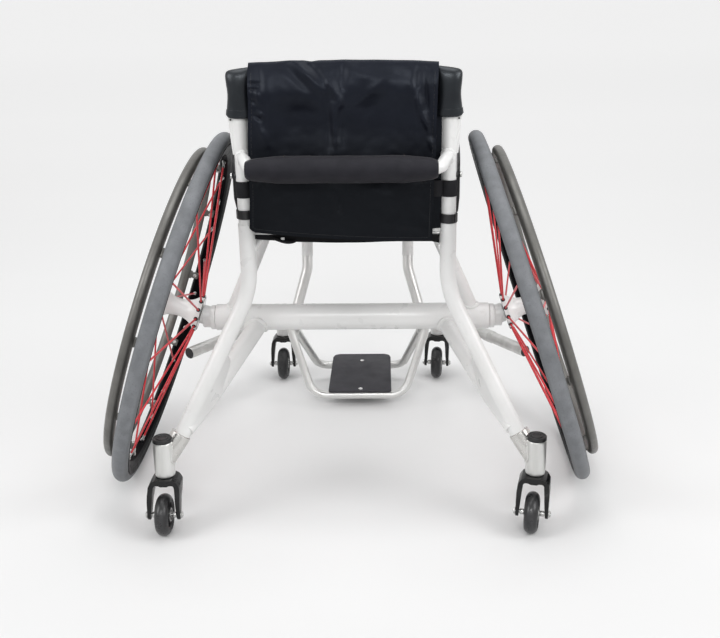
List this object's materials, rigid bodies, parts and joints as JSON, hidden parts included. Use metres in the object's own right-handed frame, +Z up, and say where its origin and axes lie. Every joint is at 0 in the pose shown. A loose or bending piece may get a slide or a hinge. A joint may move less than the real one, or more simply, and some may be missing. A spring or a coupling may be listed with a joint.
{
  "type": "court wheelchair",
  "caption": "Rigid court wheelchair with steeply cambered wheels, hand rims, swivel casters under wing tubes, a sling back and a footrest.",
  "frame": {"origin": "on the floor under the middle of the bounding box, halfway between the wheels", "axes": "+X to the rider's right, +Y forward, +Z up"},
  "size_m": [0.8292, 0.7049, 0.702],
  "materials": {
    "white_paint": "gloss white powder coat",
    "bare_aluminium": "satin",
    "dark_anodised": "dark anodised",
    "grey_tyre": "grey tread",
    "black_metal": "satin black",
    "black_plastic": "black",
    "caster_rubber": "smooth black",
    "red_fibre": "red fibre",
    "black_fabric": "coated black cloth",
    "black_foam": "soft foam in a black cover",
    "steel": "plated"
  },
  "bodies": {
    "frame": {"camber_tube": "white_paint", "camber_collar_left": "white_paint", "camber_plug_left": "bare_aluminium", "axle_left": "steel", "rear_post_left": "white_paint", "rear_brace_left": "white_paint", "seat_rail_left": "white_paint", "side_strut_left": "white_paint", "front_rail_left": "white_paint", "rear_caster_housing_left": "bare_aluminium", "wing_tube_left": "bare_aluminium", "camber_collar_right": "white_paint", "camber_plug_right": "bare_aluminium", "axle_right": "steel", "rear_post_right": "white_paint", "rear_brace_right": "white_paint", "seat_rail_right": "white_paint", "side_strut_right": "white_paint", "front_rail_right": "white_paint", "rear_caster_housing_right": "bare_aluminium", "wing_tube_right": "bare_aluminium", "seat_sling": "black_fabric"},
    "wheel_left": {"tyre_left": "grey_tyre", "rim_left": "black_metal", "spokes_left": "red_fibre", "hub_left": "white_paint", "handrim_left": "dark_anodised"},
    "button_left": {"axle_button_left": "black_plastic"},
    "wheel_right": {"tyre_right": "grey_tyre", "rim_right": "black_metal", "spokes_right": "red_fibre", "hub_right": "white_paint", "handrim_right": "dark_anodised"},
    "button_right": {"axle_button_right": "black_plastic"},
    "fork_front_left": {"caster_fork_front_left": "black_metal", "caster_axle_front_left": "steel"},
    "roller_front_left": {"caster_wheel_front_left": "caster_rubber"},
    "fork_front_right": {"caster_fork_front_right": "black_metal", "caster_axle_front_right": "steel"},
    "roller_front_right": {"caster_wheel_front_right": "caster_rubber"},
    "fork_rear_left": {"caster_fork_rear_left": "black_metal", "caster_axle_rear_left": "steel"},
    "roller_rear_left": {"caster_wheel_rear_left": "caster_rubber"},
    "fork_rear_right": {"caster_fork_rear_right": "black_metal", "caster_axle_rear_right": "steel"},
    "roller_rear_right": {"caster_wheel_rear_right": "caster_rubber"},
    "footrest": {"footrest_leg_left": "bare_aluminium", "footrest_leg_right": "bare_aluminium", "footrest_near_loop": "bare_aluminium", "footrest_far_loop": "bare_aluminium", "footplate": "black_plastic"},
    "backrest": {"back_cane_left": "white_paint", "back_cane_right": "white_paint", "cane_collar_left": "black_plastic", "cane_collar_right": "black_plastic", "rigidizer_bar": "white_paint", "rigidizer_pad": "black_foam", "side_guard_left": "black_plastic", "side_guard_right": "black_plastic", "back_sling": "black_fabric"}
  },
  "joints": [
    {"name": "wheel_spin_left", "type": "hinge", "parent": "frame", "child": "wheel_left", "pos_m": [-0.29766, -0.04775, 0.29021], "axis": [-0.9494, 0, 0.314], "continuous": true},
    {"name": "wheel_spin_right", "type": "hinge", "parent": "frame", "child": "wheel_right", "pos_m": [0.29766, -0.04775, 0.29021], "axis": [0.9494, 0, 0.314], "continuous": true},
    {"name": "button_press_left", "type": "slide", "parent": "frame", "child": "button_left", "axis": [0.9494, 0, -0.314], "range_m": [0, 0.002], "stiffness_N_per_m": 150, "springref_m": -0.0005},
    {"name": "button_press_right", "type": "slide", "parent": "frame", "child": "button_right", "axis": [-0.9494, 0, -0.314], "range_m": [0, 0.002], "stiffness_N_per_m": 150, "springref_m": -0.0005},
    {"name": "swivel_front_left", "type": "hinge", "parent": "frame", "child": "fork_front_left", "pos_m": [-0.1635, 0.33775, 0], "axis": [0, 0, 1], "continuous": true},
    {"name": "roll_front_left", "type": "hinge", "parent": "fork_front_left", "child": "roller_front_left", "pos_m": [-0.1635, 0.30775, 0.033], "axis": [1, 0, 0], "continuous": true},
    {"name": "swivel_front_right", "type": "hinge", "parent": "frame", "child": "fork_front_right", "pos_m": [0.1635, 0.33775, 0], "axis": [0, 0, 1], "continuous": true},
    {"name": "roll_front_right", "type": "hinge", "parent": "fork_front_right", "child": "roller_front_right", "pos_m": [0.16036, 0.30791, 0.033], "axis": [0.9945, -0.1045, 0], "continuous": true},
    {"name": "swivel_rear_left", "type": "hinge", "parent": "frame", "child": "fork_rear_left", "pos_m": [-0.2895, -0.26275, 0], "axis": [0, 0, 1], "continuous": true},
    {"name": "roll_rear_left", "type": "hinge", "parent": "fork_rear_left", "child": "roller_rear_left", "pos_m": [-0.2895, -0.29275, 0.033], "axis": [1, 0, 0], "continuous": true},
    {"name": "swivel_rear_right", "type": "hinge", "parent": "frame", "child": "fork_rear_right", "pos_m": [0.2895, -0.26275, 0], "axis": [0, 0, 1], "continuous": true},
    {"name": "roll_rear_right", "type": "hinge", "parent": "fork_rear_right", "child": "roller_rear_right", "pos_m": [0.28291, -0.29202, 0.033], "axis": [0.9755, -0.2198, 0], "continuous": true},
    {"name": "footrest_height", "type": "slide", "parent": "frame", "child": "footrest", "axis": [0, 0.2812, 0.9597], "range_m": [-0.012, 0.018]},
    {"name": "backrest_height", "type": "slide", "parent": "frame", "child": "backrest", "axis": [0, 0, 1], "range_m": [0, 0.035]}
  ]
}
